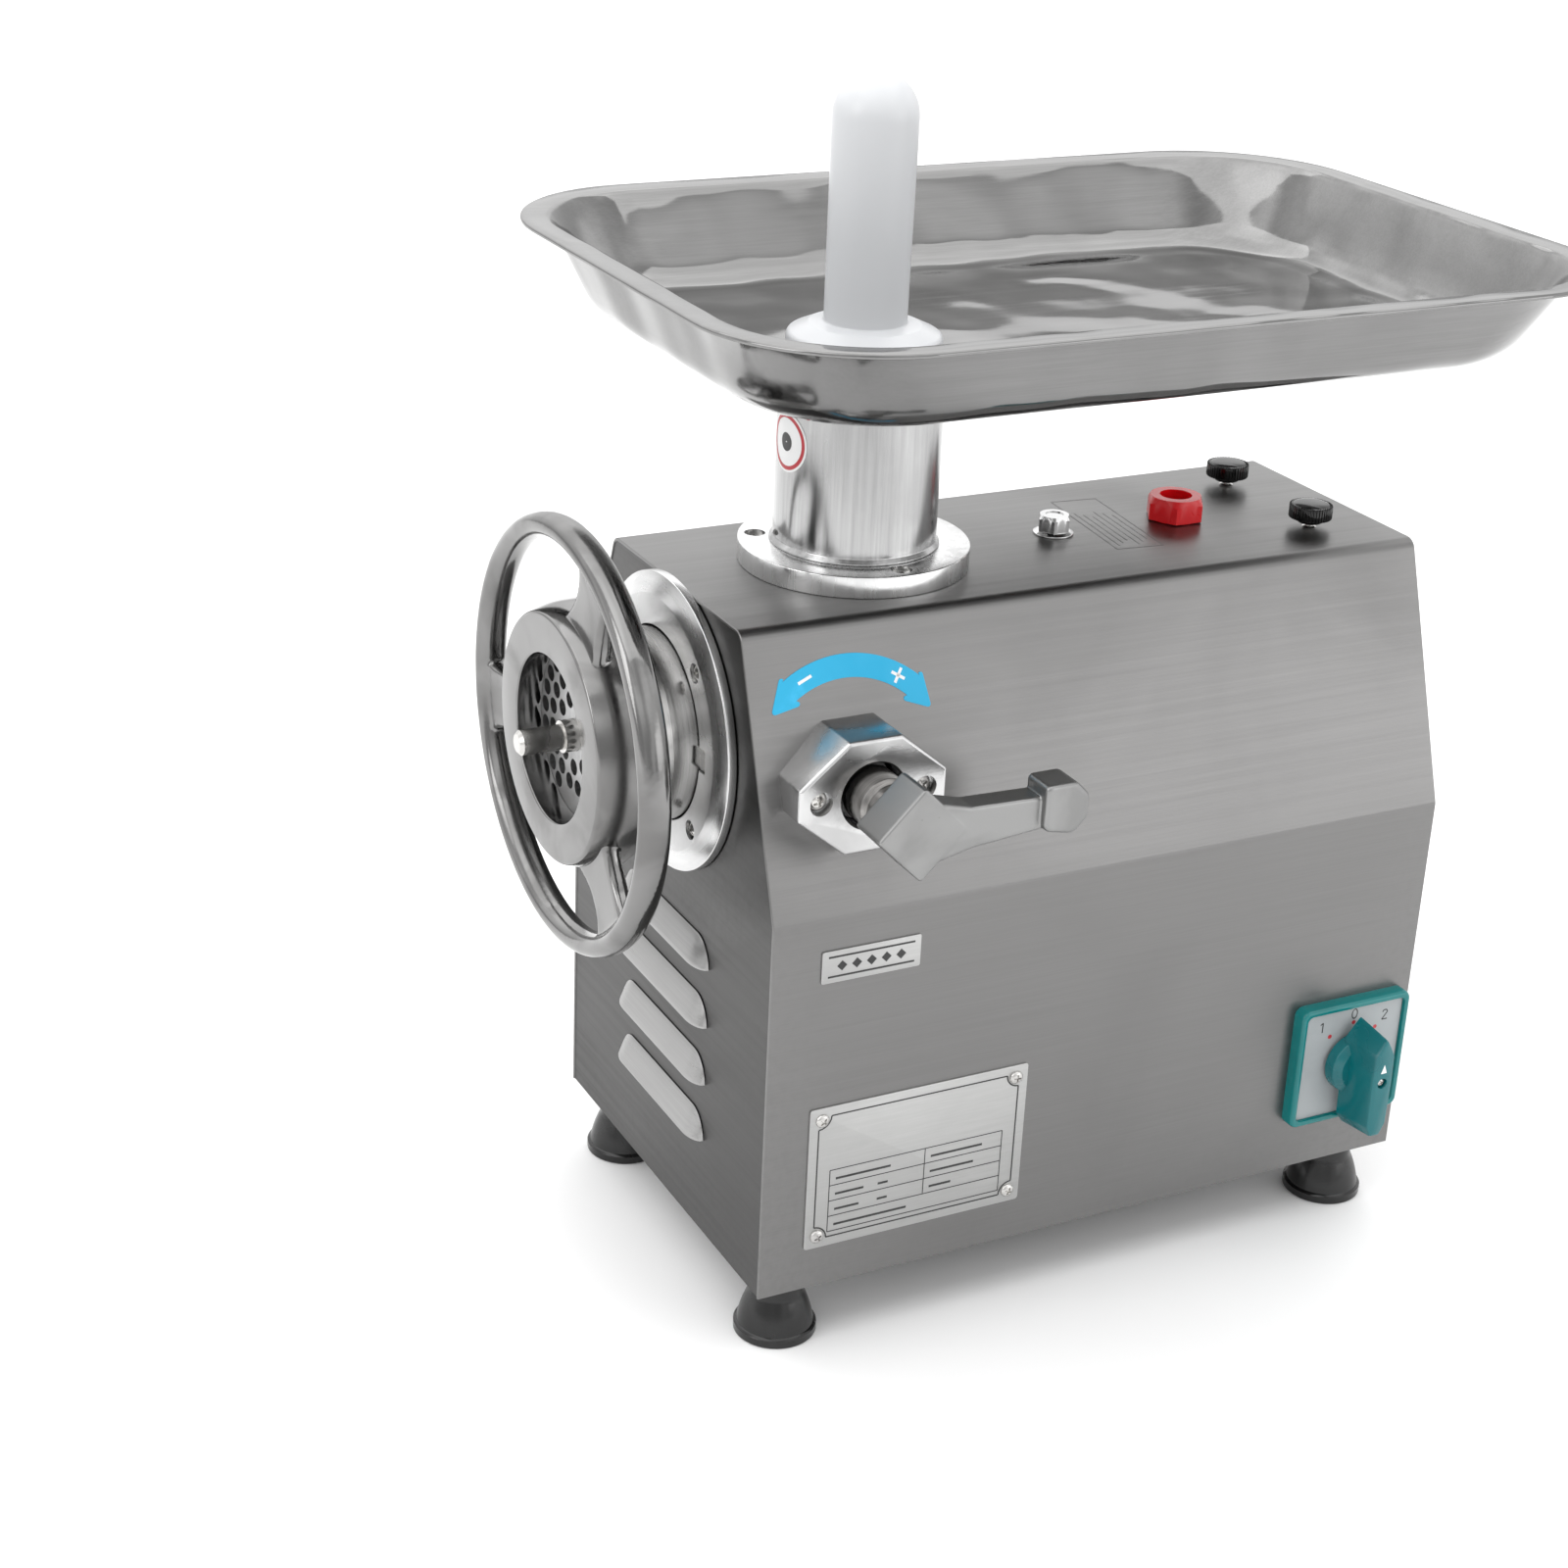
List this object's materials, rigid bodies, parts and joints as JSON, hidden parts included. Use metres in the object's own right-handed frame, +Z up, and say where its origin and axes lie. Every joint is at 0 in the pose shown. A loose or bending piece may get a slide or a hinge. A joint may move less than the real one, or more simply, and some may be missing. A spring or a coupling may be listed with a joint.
{
  "type": "electric meat grinder",
  "caption": "Countertop electric meat grinder: steel housing with motor and gears, screw-fed grinding head with handwheel ring nut, tray, pusher, head clamp and switch.",
  "frame": {"origin": "on the floor under the middle of the whole machine's box", "axes": "+X from the handwheel towards the back of the housing along the feed screw, -Y towards the operator, +Z up"},
  "size_m": [0.46, 0.3, 0.5355],
  "materials": {
    "brushed_steel": "brushed along the housing",
    "polished_steel": "polished",
    "cast_steel": "polished casting",
    "tool_steel": "ground",
    "machined_aluminium": "turned",
    "cast_aluminium": "satin casting",
    "zinc_steel": "zinc plated",
    "bronze": "plain",
    "black_rubber": "smooth",
    "black_plastic": "matte",
    "white_plastic": "smooth food plastic",
    "teal_plastic": "satin",
    "grey_plastic": "matte",
    "red_plastic": "satin",
    "blue_label": "printed film",
    "white_label": "printed film",
    "plate_aluminium": "printed plate",
    "motor_iron": "laminated iron",
    "gear_steel": "oiled"
  },
  "bodies": {
    "root": {"feet": "black_rubber", "foot_screws": "zinc_steel", "cable_gland": "black_plastic", "panel_screws": "zinc_steel", "rear_panel": "brushed_steel", "front_collar": "machined_aluminium", "collar_screws": "zinc_steel", "head_seat": "cast_aluminium", "neck_flange": "machined_aluminium", "neck_flange_screws": "zinc_steel", "feed_neck": "machined_aluminium", "neck_label": "white_label", "clamp_block": "cast_aluminium", "clamp_block_screws": "zinc_steel", "clamp_bush": "bronze", "arrow_label": "blue_label", "switch_bezel": "teal_plastic", "switch_dial": "grey_plastic", "switch_body": "black_plastic", "rating_plate": "plate_aluminium", "rating_plate_screws": "zinc_steel", "badge": "plate_aluminium", "oil_plug": "red_plastic", "top_bolt": "zinc_steel", "gear_case": "cast_aluminium", "gear_cover": "cast_aluminium", "output_bearings": "tool_steel", "mid_bearings": "tool_steel", "motor_stator": "motor_iron", "motor_fan_bell": "cast_aluminium", "motor_drive_bell": "cast_aluminium", "motor_bearings": "tool_steel", "motor_cradle": "cast_aluminium", "capacitor": "grey_plastic", "body_shell": "brushed_steel", "front_panel": "brushed_steel", "base_plate": "brushed_steel"},
    "head": {"grinding_head": "cast_steel", "plate_pin": "tool_steel"},
    "plate_carrier": {"grinding_plate": "tool_steel"},
    "ring_nut": {"ring_nut": "cast_steel"},
    "auger": {"auger": "cast_steel", "knife": "tool_steel"},
    "output": {"output_shaft": "gear_steel", "output_gear": "gear_steel"},
    "mid": {"mid_shaft": "gear_steel", "mid_gear": "gear_steel"},
    "rotor": {"rotor": "motor_iron", "rotor_shaft": "gear_steel", "fan": "black_plastic"},
    "tray": {"tray": "polished_steel"},
    "pusher": {"pusher": "white_plastic"},
    "clamp_pad": {"clamp_pad": "tool_steel"},
    "clamp_lever": {"clamp_lever": "cast_aluminium", "clamp_screw": "zinc_steel"},
    "switch_knob": {"switch_knob": "teal_plastic", "switch_spindle": "zinc_steel", "knob_screw": "zinc_steel"},
    "thumb_near": {"thumb_screw_near": "black_plastic"},
    "thumb_far": {"thumb_screw_far": "black_plastic"}
  },
  "joints": [
    {"name": "head_slide", "type": "slide", "parent": "root", "child": "head", "axis": [-1, 0, 0], "range_m": [0, 0.12]},
    {"name": "plate_travel", "type": "slide", "parent": "head", "child": "plate_carrier", "axis": [-1, 0, 0], "range_m": [0, 0.01]},
    {"name": "nut_turn", "type": "hinge", "parent": "plate_carrier", "child": "ring_nut", "pos_m": [-0.207, 0, 0.264], "axis": [-1, 0, 0], "range_deg": [0, 720]},
    {"name": "auger_spin", "type": "hinge", "parent": "head", "child": "auger", "pos_m": [-0.074, 0, 0.264], "axis": [1, 0, 0], "continuous": true},
    {"name": "output_spin", "type": "hinge", "parent": "root", "child": "output", "pos_m": [0.041, 0, 0.264], "axis": [1, 0, 0], "continuous": true},
    {"name": "mid_spin", "type": "hinge", "parent": "root", "child": "mid", "pos_m": [0.041, 0, 0.1915], "axis": [1, 0, 0], "continuous": true},
    {"name": "rotor_spin", "type": "hinge", "parent": "root", "child": "rotor", "pos_m": [-0.059, 0, 0.14075], "axis": [1, 0, 0], "continuous": true},
    {"name": "tray_lift", "type": "slide", "parent": "root", "child": "tray", "axis": [0, 0, 1], "range_m": [0, 0.06]},
    {"name": "pusher_lift", "type": "slide", "parent": "tray", "child": "pusher", "axis": [0, 0, 1], "range_m": [0, 0.16]},
    {"name": "pad_travel", "type": "slide", "parent": "root", "child": "clamp_pad", "axis": [0, -1, 0], "range_m": [0, 0.002]},
    {"name": "lever_turn", "type": "hinge", "parent": "clamp_pad", "child": "clamp_lever", "pos_m": [-0.115, -0.103, 0.264], "axis": [0, -1, 0], "range_deg": [0, 180]},
    {"name": "switch_turn", "type": "hinge", "parent": "root", "child": "switch_knob", "pos_m": [0.146, -0.11, 0.088], "axis": [0, -1, 0], "range_deg": [-45, 45]},
    {"name": "thumb_near_turn", "type": "hinge", "parent": "root", "child": "thumb_near", "pos_m": [0.145, -0.033, 0.327], "axis": [0, 0, 1], "range_deg": [0, 720]},
    {"name": "thumb_far_turn", "type": "hinge", "parent": "root", "child": "thumb_far", "pos_m": [0.145, 0.033, 0.327], "axis": [0, 0, 1], "range_deg": [0, 720]}
  ],
  "couplings": [
    {"joint": "plate_travel", "follows": "nut_turn", "m_per_rad": 0.00079577},
    {"joint": "pad_travel", "follows": "lever_turn", "m_per_rad": 0.00063662},
    {"joint": "mid_spin", "follows": "rotor_spin", "ratio": -0.31818},
    {"joint": "output_spin", "follows": "rotor_spin", "ratio": 0.12121},
    {"joint": "auger_spin", "follows": "rotor_spin", "ratio": 0.12121}
  ]
}
